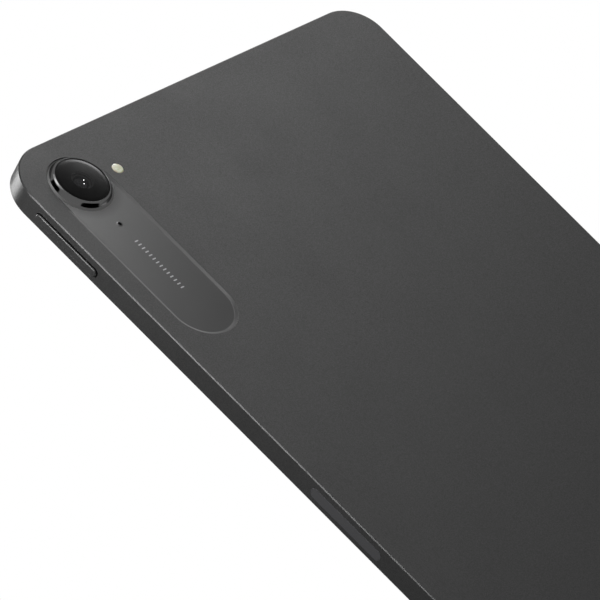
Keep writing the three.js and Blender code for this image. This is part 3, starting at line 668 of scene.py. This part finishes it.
def camera_ring():
    flange_bottom = PANEL_FLOOR + 0.03 * MM
    skirt_radius = 8.5 * MM
    bore = 7.6 * MM
    seat_radius = COVER_RADIUS + 0.05 * MM
    seat = COVER_BOTTOM - 0.03 * MM
    bevel = 0.1 * MM
    section = [
        (bore, RING_LOW.z),
        (skirt_radius, RING_LOW.z),
        (skirt_radius, flange_bottom),
        (FLANGE_RADIUS, flange_bottom),
        (FLANGE_RADIUS, FLANGE_EDGE),
        (WALL_FOOT_RADIUS, FLANGE_TOP),
        (RING_RADIUS + 0.25 * MM, RING_TOP - 0.9 * MM),
        (RING_RADIUS - 0.05 * MM, RING_TOP - 0.4 * MM),
        (RING_RADIUS - 0.4 * MM, RING_TOP - 0.1 * MM),
        (seat_radius + 1.5 * bevel, RING_TOP),
        (seat_radius + bevel, RING_TOP),
        (seat_radius, RING_TOP - bevel),
        (seat_radius, seat),
        (bore, seat),
    ]
    ring = lathe("polished_camera_ring", rounded(section, 0.2 * MM, 4, closed=True), (CAMERA_X, CAMERA_Y), loop=True)
    smooth(ring, 60)
    return finished(ring, "tablet", polished_ring_metal(), "camera_ring")


def smoked_glass(name, opening):
    """Glass that is printed black underneath, but for a dim round opening over the lens."""
    shader = Shader(name, base_color=(0, 0, 0))
    printed = shader.between(shader.distance_from_camera_axis(), 0, 1, opening, opening + 0.2 * MM)
    shader.set("Alpha", shader.between(printed, 0.16, 1, 0, 1))
    shader.set("Specular IOR Level", shader.between(printed, 1, 0.2, 0, 1))
    shader.set("Roughness", shader.between(shader.noise(3 * MM, 4), 0.23, 0.26))
    return shader.material


def black_ink(name):
    shader = Shader(name, base_color=(0.003, 0.003, 0.004), specular_ior_level=0.1)
    shader.set("Roughness", shader.between(shader.noise(0.4 * MM), 0.3, 0.42))
    return shader.material


def moulded_black(name, level=0.012, grain=0.15 * MM):
    shader = Shader(name, roughness=0.5)
    fine = shader.noise(grain, 4)
    shader.set("Base Color", shader.tinted((level, level, level * 1.08), 0.8, 1.25, shader.between(fine, 0, 1)))
    shader.set("Roughness", shader.between(fine, 0.42, 0.6))
    shader.bump(fine, 0.3, 0.01 * MM)
    return shader.material


def camera_glass():
    edge = 0.1 * MM
    bevel = 1.1 * MM
    drop = 0.15 * MM
    crown = 0.3 * MM
    brow = COVER_TOP - 0.12 * MM  # where the dome meets the bevel
    section = [
        (0.02 * MM, COVER_BOTTOM),
        (COVER_RADIUS, COVER_BOTTOM),
        (COVER_RADIUS, brow - drop - edge),
        (COVER_RADIUS - edge, brow - drop),
        (COVER_RADIUS - bevel, brow),
    ]
    steps = 24
    for i in range(1, steps):
        across = 1 - i / steps
        section.append(((COVER_RADIUS - bevel) * across, brow + crown * (1 - across**2)))
    section.append((0.02 * MM, brow + crown))
    glass = lathe("camera_window", section, (CAMERA_X, CAMERA_Y))
    smooth(glass, 6)
    finished(glass, "tablet", smoked_glass("camera window glass", 3.5 * MM), "camera_cover_glass")

    low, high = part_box("camera_baffle")
    inner = 3.4 * MM
    outer = (high.x - low.x) / 2
    ring = [(inner, high.z), (inner + 0.3 * MM, low.z), (outer, low.z), (outer, high.z)]
    baffle = lathe("lens_surround", ring, (CAMERA_X, CAMERA_Y), loop=True)
    smooth(baffle)
    finished(baffle, "tablet", black_ink("lens surround ink"), "camera_baffle")
    return glass, baffle


def lens_barrel():
    low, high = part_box("camera_lens_barrel")
    lens_low, lens_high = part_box("camera_lens_element")
    radius = (high.x - low.x) / 2
    cup = (lens_high.x - lens_low.x) / 2 + 0.06 * MM
    section = [
        (0.02 * MM, low.z),
        (radius, low.z),
        (radius, high.z),
        (cup + 0.3 * MM, high.z),
        (cup, high.z - 0.5 * MM),
        (cup, lens_low.z - 0.03 * MM),
        (0.02 * MM, lens_low.z - 0.03 * MM),
    ]
    barrel = lathe("focus_barrel", rounded(section, 0.08 * MM), (CAMERA_X, CAMERA_Y))
    smooth(barrel)
    finished(barrel, "focus_unit", moulded_black("barrel plastic", 0.02), "camera_lens_barrel")

    dome_radius = cup - 0.06 * MM
    crown = 0.35 * MM
    rim = high.z + 0.05 * MM - crown
    steps = 24
    dome = [(0.02 * MM, lens_low.z), (dome_radius, lens_low.z)]
    for i in range(steps):
        across = math.cos(math.pi / 2 * i / steps)
        dome.append((dome_radius * across, rim + crown * math.sqrt(1 - across**2)))
    lens = lathe("front_lens", dome, (CAMERA_X, CAMERA_Y))
    smooth(lens, 50)
    shader = Shader("coated lens", base_color=(0.01, 0.01, 0.016), roughness=0.04, coat_weight=1.0)
    shader.set("Coat Roughness", shader.between(shader.noise(1 * MM), 0.02, 0.05))
    finished(lens, "focus_unit", shader.material, "camera_lens_element")
    return barrel, lens


def flash():
    low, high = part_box("flash_lens")
    centre = (middle(low, high, 0), middle(low, high, 1))
    radius = (high.x - low.x) / 2
    section = [
        (0.02 * MM, low.z),
        (radius, low.z),
        (radius, high.z - 0.1 * MM),
        (radius - 0.25 * MM, high.z),
        (0.02 * MM, high.z),
    ]
    lens = lathe("flash_window", rounded(section, 0.08 * MM), centre, steps=96)
    smooth(lens)
    shader = Shader("flash window resin", roughness=0.25, coat_weight=0.6)
    spots = shader.between(shader.noise(1.1 * MM, 2), 0, 1)
    shader.set("Base Color", shader.mix(spots, (0.78, 0.78, 0.66), (0.6, 0.6, 0.36)))
    shader.set("Subsurface Weight", 0.3)
    shader.set("Subsurface Scale", 0.5 * MM)
    finished(lens, "tablet", shader.material, "flash_lens")


# ---------------------------------------------------------------- keys and side pieces


def key_profile(depth):
    """The section of a key from its inner end to its outer face, as (inset, height above the wall)."""
    edge = 0.3 * MM
    section = [
        (0, -depth),
        (0, KEY_PROUD - edge),
        (edge * 0.5, KEY_PROUD - edge * 0.35),
        (edge, KEY_PROUD),
        (edge + 0.2 * MM, KEY_PROUD),
    ]
    return rounded(section, 0.12 * MM, 4)


def key(name, body, length, place, node):
    inner = SIDE_WALL + 0.4 * MM
    head = stack(name, lambda inset: pill(length, KEY_HEIGHT, -inset), key_profile(inner + 0.3 * MM), place)
    flange = stack(
        "flange",
        lambda inset: pill(length + KEY_TABS, KEY_HEIGHT + 1 * MM, -inset),
        [(0, -inner - 0.6 * MM), (0, -inner)],
        place,
    )
    unite(head, flange)
    smooth(head)
    metal = anodised_metal(name + " metal", HOUSING_COLOUR, MACHINED, MACHINED)
    finished(head, body, metal, node)


def card_tray():
    """The tray's plug in the wall, with its pinhole, and the flat bed that carries the card inwards."""
    low, high = TRAY_LOW, TRAY_HIGH
    length = high.y - low.y
    height = high.z - low.z
    plug_depth = SIDE_WALL
    bed_depth = high.x - low.x
    bed_length = length - 0.9 * MM
    bed_height = 1.3 * MM
    card_length = 15.4 * MM
    card_width = 11.2 * MM
    edge = 0.08 * MM
    section = [(0, -plug_depth), (0, -edge), (edge, 0), (edge + 0.2 * MM, 0)]
    tray = stack("memory_card_tray", lambda inset: pill(length, height, -inset), section, TRAY_PLACE)
    bed = stack(
        "bed",
        lambda inset: pill(bed_length, bed_height, -inset),
        [(0.1 * MM, -bed_depth), (0, -bed_depth + 0.2 * MM), (0, -plug_depth + 0.4 * MM)],
        TRAY_PLACE,
    )
    unite(tray, bed)
    pin_radius = 0.4 * MM
    pinhole = stack(
        "pinhole",
        lambda inset: pill(2 * pin_radius, 2 * pin_radius, -inset),
        [(-0.1 * MM, 0.1 * MM), (0, -0.1 * MM), (0, -1.2 * MM)],
        TRAY_PLACE @ Matrix.Translation((-4.4 * MM, 0, 0)),
    )
    card_centre = Matrix.Translation((high.x - plug_depth - 0.6 * MM - card_length / 2, middle(low, high, 1), 0))
    card_floor = middle(low, high, 2) - 0.25 * MM
    pocket = stack(
        "card pocket",
        lambda inset: rectangle(card_length, card_width),
        [(0, card_floor), (0, card_floor + 2 * MM)],
        card_centre,
    )
    cut(tray, [joined([pinhole, pocket])])
    smooth(tray)
    metal = anodised_metal("tray metal", HOUSING_COLOUR, MACHINED, MACHINED)
    finished(tray, "tray", metal, "card_tray")


def charging_window():
    length = WINDOW_HIGH.y - WINDOW_LOW.y
    height = WINDOW_HIGH.z - WINDOW_LOW.z
    depth = WINDOW_HIGH.x - WINDOW_LOW.x
    edge = 0.04 * MM
    section = [(0, -depth), (0, -edge), (edge, 0), (edge + 0.2 * MM, 0)]
    window = stack("charging_window", lambda inset: pill(length, height, -inset), section, WINDOW_PLACE)
    smooth(window)
    shader = Shader("charging window plastic", metallic=0.7, roughness=0.45)
    fine = shader.noise(0.2 * MM)
    shader.set("Base Color", shader.tinted((0.08, 0.08, 0.084), 0.95, 1.05, shader.between(fine, 0, 1)))
    finished(window, "tablet", shader.material, "stylus_charging_window")


# ---------------------------------------------------------------- front glass


def front_glass():
    low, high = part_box("display_cover_glass")
    lip = GLASS_LIP + 0.06 * MM
    edge = 0.15 * MM
    section = [
        (lip + 0.6 * MM, high.z),
        (lip, high.z),
        (lip, low.z + edge),
        (lip + edge, low.z),
        (lip + 0.6 * MM, low.z),
    ]
    glass = stack("front_glass", frame_outline, rounded(section, 0.08 * MM))
    smooth(glass)
    shader = Shader("front glass", roughness=0.05, base_color=(0.004, 0.004, 0.005), coat_weight=0.5)
    smudge = shader.noise(25 * MM, 4)
    shader.set("Roughness", shader.between(smudge, 0.03, 0.09))
    finished(glass, "tablet", shader.material, "display_cover_glass")


# ---------------------------------------------------------------- looks of the pieces kept as the CAD has them


def worn_metal(name, colour, roughness, stretch=(1, 1, 1), grain=0.3 * MM):
    """Bare or plated metal with a drawn grain, brighter where its edges are rubbed."""
    shader = Shader(name, metallic=1.0)
    brushed = shader.noise(grain, 4, stretch)
    tone = shader.tinted(colour, 0.85, 1.1, shader.between(brushed, 0, 1))
    rubbed = tuple(min(1, channel * 1.5) for channel in colour)
    shader.set("Base Color", shader.mix(shader.wear(0.12 * MM), tone, rubbed))
    shader.set("Roughness", shader.between(brushed, roughness - 0.06, roughness + 0.08))
    shader.bump(brushed, 0.1, 0.005 * MM)
    return shader.material


def solder_mask(name):
    """Green lacquer with copper tracks showing faintly through it."""
    shader = Shader(name, roughness=0.35, coat_weight=0.3)
    tracks = shader.nodes.new("ShaderNodeTexVoronoi")
    tracks.distance = "CHEBYCHEV"
    tracks.inputs["Scale"].default_value = 1 / (1.4 * MM)
    shader.links.new(shader.place, tracks.inputs["Vector"])
    line = shader.between(tracks.outputs["Distance"], 0, 1, 0.32, 0.36)
    green = shader.mix(line, (0.004, 0.05, 0.03), (0.012, 0.1, 0.06))
    worn_edge = shader.wear(0.1 * MM)
    shader.set("Base Color", shader.mix(worn_edge, green, (0.25, 0.22, 0.12)))
    shader.set("Roughness", shader.between(shader.noise(1 * MM), 0.28, 0.45))
    shader.bump(line, 0.25, 0.02 * MM)
    return shader.material


def film(name, colour, roughness=0.3, crease=6 * MM):
    """Thin sheet: slightly mottled, with soft creases and paler edges."""
    shader = Shader(name, coat_weight=0.25)
    mottled = shader.noise(0.8 * MM, 4)
    tone = shader.tinted(colour, 0.8, 1.2, shader.between(mottled, 0, 1))
    edge = tuple(min(1, channel * 1.6 + 0.01) for channel in colour)
    shader.set("Base Color", shader.mix(shader.wear(0.1 * MM), tone, edge))
    shader.set("Roughness", shader.between(mottled, roughness - 0.05, roughness + 0.12))
    shader.bump(shader.noise(crease, 2), 0.3, 0.05 * MM)
    return shader.material


def woven_mesh(name):
    shader = Shader(name, metallic=0.9)
    pitch = 0.3 * MM
    across = shader.node("ShaderNodeSeparateXYZ", {0: shader.place})
    strands = []
    for axis in ("X", "Z"):
        turns = shader.math("MULTIPLY", across.outputs[axis], 2 * math.pi / pitch)
        strands.append(shader.math("ABSOLUTE", shader.math("SINE", turns)))
    weave = shader.math("MAXIMUM", *strands)
    wire = shader.between(weave, 0, 1, 0.6, 0.9)
    shader.set("Base Color", shader.mix(wire, (0.002, 0.002, 0.002), (0.045, 0.045, 0.05)))
    shader.set("Roughness", shader.between(wire, 0.7, 0.4, 0, 1))
    shader.bump(weave, 0.6, 0.05 * MM)
    return shader.material


def wound_copper(name):
    """Enamelled wire, wound in fine rounds, with painted shade between the turns and painted highlight on them."""
    shader = Shader(name, metallic=0.9, coat_weight=0.4)
    across = shader.node("ShaderNodeSeparateXYZ", {0: shader.place}).outputs["Z"]
    turns = shader.math("SINE", shader.math("MULTIPLY", across, 2 * math.pi / (0.2 * MM)))
    wire = shader.between(turns, 0, 1, -1, 1)
    fine = shader.between(shader.noise(0.6 * MM), 0.85, 1)
    # Painted shade and painted highlight: darker copper in the grooves between the turns, lighter copper on their
    # rounds.
    tone = shader.mix(wire, (0.25, 0.09, 0.03), (0.65, 0.3, 0.12))
    shader.set("Base Color", shader.mix(shader.wear(0.08 * MM), tone, (0.8, 0.45, 0.25)))
    shader.set("Roughness", shader.math("MULTIPLY", fine, 0.35))
    shader.bump(turns, 0.4, 0.03 * MM)
    return shader.material


def dress_cad_nodes():
    """Gives a look to each CAD node that has no piece of its own here."""
    looks = {
        "steel": worn_metal("sheet steel", (0.32, 0.33, 0.35), 0.32, (6, 1, 1)),
        "magnet": worn_metal("nickel plate", (0.4, 0.4, 0.38), 0.2),
        "backlight": worn_metal("bright backing sheet", (0.5, 0.51, 0.52), 0.26, (1, 8, 1), 0.6 * MM),
        "circuit_board": solder_mask("green solder mask"),
        "flex": film("amber film", (0.2, 0.07, 0.012)),
        "battery": film("black pouch laminate", (0.012, 0.013, 0.016), 0.4, 14 * MM),
        "graphite": film("graphite sheet", (0.025, 0.026, 0.028), 0.42, 9 * MM),
        "gasket": moulded_black("gasket foam", 0.008, 0.25 * MM),
        "black_plastic": moulded_black("moulded plastic"),
        "display_cell": film("display cell", (0.004, 0.004, 0.006), 0.12, 40 * MM),
        "speaker_mesh": woven_mesh("woven speaker mesh"),
        "phosphor": film("phosphor", (0.6, 0.5, 0.12), 0.45, 1 * MM),
        "coil": wound_copper("wound copper"),
    }
    slots = {part["node"]: part["material_slot"] for part in frame["record"]["subparts"]}
    for name, piece in frame["nodes"].items():
        look = looks.get(slots[name])
        if look:
            piece.data.materials.clear()
            piece.data.materials.append(look)


# ---------------------------------------------------------------- light, floor and camera

SKY_LEVEL = 0.2
SKY_PATCHES = [
    # azimuth from +X towards +Y, elevation and radius in degrees, then strength
    (114, 40, 16, 1.0),
]
SKY_FLAGS = [
    # black cards: azimuth, elevation and radius in degrees
    (135, 4.5, 24),
    (268, 3, 33),
]

# Softboxes: place, width, height, power, and the group of pieces that they light.
SOFTBOXES = {
    "back light": ((0.32, 0.385, 0.265), 0.1, 0.49, 1.65, "housing"),
    "panel's back light": ((0.27, 0.339, 0.363), 0.1, 0.25, 0.76, "panel"),
    "key light": ((-0.7, 0.385, 0.17), 0.1, 1.19, 5.0, "body"),
    "corner light": ((-0.095, 0.3, -0.062), 0.1, 0.145, 0.39, "body"),
    "lens light": ((0.348, 0.357, 0.147), 0.18, 0.16, 0.9, "glass"),
    "upper spark": ((0.324, 0.284, 0.154), 0.016, 0.016, 0.06, "lens"),
    "lower spark": ((0.273, 0.233, 0.279), 0.014, 0.014, 0.03, "lens"),
    "ring light": ((-0.219, 0.459, 0.329), 0.4, 0.4, 0.16, "ring"),
    "slope light": ((-0.008, 0.25, 0.474), 0.2, 0.2, 0.33, "panel"),
    "rim light": ((0.407, 0.29, 0.03), 0.3, 0.1, 0.22, "panel"),
    "lip light": ((0.023, 0.09, 0.398), 0.05, 0.05, 0.5, "panel"),
    "far fill": ((0.55, -0.6, 0.22), 0.6, 0.3, 0.5, "body"),
    "low fill left": ((-0.46, -0.46, -0.2), 0.5, 0.25, 0.27, "body"),
    "low fill right": ((0.44, 0.46, -0.2), 0.5, 0.25, 0.27, "body"),
    "low fill front": ((0, -0.75, -0.12), 0.6, 0.25, 0.33, "body"),
    "low fill side": ((0.75, 0, -0.12), 0.6, 0.25, 0.33, "body"),
}
LIGHT_AIM = Vector((-0.03, 0.06, BACK))


def world_light():
    world = bpy.data.worlds.new("studio")
    bpy.context.scene.world = world
    world.use_nodes = True
    nodes = world.node_tree.nodes
    links = world.node_tree.links
    nodes.clear()
    output = nodes.new("ShaderNodeOutputWorld")
    mix = nodes.new("ShaderNodeMixShader")
    seen = nodes.new("ShaderNodeBackground")
    lit = nodes.new("ShaderNodeBackground")
    for background in (seen, lit):
        background.inputs["Color"].default_value = (1, 1, 1, 1)
    direction = nodes.new("ShaderNodeTexCoord").outputs["Generated"]

    def disc(azimuth, elevation, radius, edge, inside, outside):
        """A round patch of the sky, with one value inside and another outside. Angles are in degrees."""
        a = math.radians(azimuth)
        e = math.radians(elevation)
        dot = nodes.new("ShaderNodeVectorMath")
        dot.operation = "DOT_PRODUCT"
        links.new(direction, dot.inputs[0])
        dot.inputs[1].default_value = (math.cos(e) * math.cos(a), math.cos(e) * math.sin(a), math.sin(e))
        ramp = nodes.new("ShaderNodeMapRange")
        ramp.interpolation_type = "SMOOTHSTEP"
        links.new(dot.outputs["Value"], ramp.inputs["Value"])
        ramp.inputs["From Min"].default_value = math.cos(math.radians(radius))
        ramp.inputs["From Max"].default_value = math.cos(math.radians(radius - edge))
        ramp.inputs["To Min"].default_value = outside
        ramp.inputs["To Max"].default_value = inside
        return ramp.outputs["Result"]

    def combined(operation, first, second):
        node = nodes.new("ShaderNodeMath")
        node.operation = operation
        links.new(first, node.inputs[0])
        links.new(second, node.inputs[1])
        return node.outputs[0]

    level = nodes.new("ShaderNodeValue")
    level.outputs[0].default_value = SKY_LEVEL
    total = level.outputs[0]
    for azimuth, elevation, radius, strength in SKY_PATCHES:
        total = combined("ADD", total, disc(azimuth, elevation, radius, radius - 1, strength, 0))
    for azimuth, elevation, radius in SKY_FLAGS:
        total = combined("MULTIPLY", total, disc(azimuth, elevation, radius, 3, 0, 1))
    links.new(total, lit.inputs["Strength"])
    camera_ray = nodes.new("ShaderNodeLightPath").outputs["Is Camera Ray"]
    links.new(camera_ray, mix.inputs[0])
    links.new(lit.outputs[0], mix.inputs[1])
    links.new(seen.outputs[0], mix.inputs[2])
    links.new(mix.outputs[0], output.inputs["Surface"])


def linked_collection(name, pieces, state):
    collection = bpy.data.collections.new(name)
    for piece in pieces:
        collection.objects.link(piece)
    for member in collection.collection_objects:
        member.light_linking.link_state = state
    return collection


def softbox(name, where, width, height, power, pieces, state, shadowless):
    """A rectangular area light aimed at the camera end. It lights only the pieces, or all but them.

    The ring and glass stand in the way of the low lights that are for single pieces, and cast no shadow there.
    """
    data = bpy.data.lights.new(name, "AREA")
    data.shape = "RECTANGLE"
    data.size = width
    data.size_y = height
    data.energy = power
    light = bpy.data.objects.new(name, data)
    light.location = where
    light.rotation_euler = (LIGHT_AIM - Vector(where)).to_track_quat("-Z", "Y").to_euler()
    light.visible_camera = False
    bpy.context.scene.collection.objects.link(light)
    light.light_linking.receiver_collection = linked_collection(name, pieces, state)
    if state == "INCLUDE":
        light.light_linking.blocker_collection = linked_collection(name + " blockers", shadowless, "EXCLUDE")


def studio(groups):
    """groups: named lists of pieces. "body" is all but the camera's pieces, and "housing" leaves out the panel too."""
    world_light()
    shadowless = groups["ring"] + groups["glass"]
    unlit = {"body": groups["camera"], "housing": groups["camera"] + groups["panel"]}
    for name, (where, width, height, power, group) in SOFTBOXES.items():
        if group in unlit:
            softbox(name, where, width, height, power, unlit[group], "EXCLUDE", shadowless)
        else:
            softbox(name, where, width, height, power, groups[group], "INCLUDE", shadowless)
    reach = 20
    floor = mesh_object(
        "floor",
        [(-reach, -reach, -0.001), (reach, -reach, -0.001), (reach, reach, -0.001), (-reach, reach, -0.001)],
        [(0, 1, 2, 3)],
    )
    material = bpy.data.materials.new("pale floor")
    material.use_nodes = True
    nodes = material.node_tree.nodes
    links = material.node_tree.links
    nodes.clear()
    output = nodes.new("ShaderNodeOutputMaterial")
    mix = nodes.new("ShaderNodeMixShader")
    white = nodes.new("ShaderNodeEmission")
    clear = nodes.new("ShaderNodeBsdfTransparent")
    links.new(nodes.new("ShaderNodeLightPath").outputs["Is Camera Ray"], mix.inputs[0])
    links.new(clear.outputs[0], mix.inputs[1])
    links.new(white.outputs[0], mix.inputs[2])
    links.new(mix.outputs[0], output.inputs["Surface"])
    floor.data.materials.append(material)


VIEW_AZIMUTH = -64.44
VIEW_ELEVATION = 39.38
VIEW_ROLL = 28.08
VIEW_TARGET = Vector((-30.98 * MM, 41.56 * MM, BACK))
VIEW_DISTANCE = 8.042
LENS = 1600


def camera():
    data = bpy.data.cameras.new("camera")
    data.lens = LENS
    data.clip_end = 100
    view = bpy.data.objects.new("camera", data)
    bpy.context.scene.collection.objects.link(view)
    azimuth = math.radians(VIEW_AZIMUTH)
    elevation = math.radians(VIEW_ELEVATION)
    back = Vector(
        (
            math.sin(azimuth) * math.cos(elevation),
            -math.cos(azimuth) * math.cos(elevation),
            math.sin(elevation),
        )
    )
    level = Vector((math.cos(azimuth), math.sin(azimuth), 0))
    axes = Matrix((level, back.cross(level), back)).transposed()
    roll = Matrix.Rotation(math.radians(VIEW_ROLL), 3, "Z")
    view.matrix_world = Matrix.Translation(VIEW_TARGET + back * VIEW_DISTANCE) @ (axes @ roll).to_4x4()
    bpy.context.scene.camera = view
    bpy.context.scene.view_settings.view_transform = "Standard"


# ---------------------------------------------------------------- the scene

rear_housing()
panel = accent_panel()
printed_marks()
ring = camera_ring()
glass_parts = list(camera_glass())
lens_parts = lens_barrel()
flash()
key("volume_key", "rocker", ROCKER_LENGTH, ROCKER_PLACE, "volume_rocker")
key("power_key_cap", "power_key", POWER_LENGTH, POWER_PLACE, "power_button")
card_tray()
charging_window()
front_glass()
dress_cad_nodes()
light_groups = {
    "camera": [ring, *glass_parts, *lens_parts],
    "glass": glass_parts,
    "lens": lens_parts,
    "ring": [ring],
    "panel": [panel],
}
studio(light_groups)
camera()
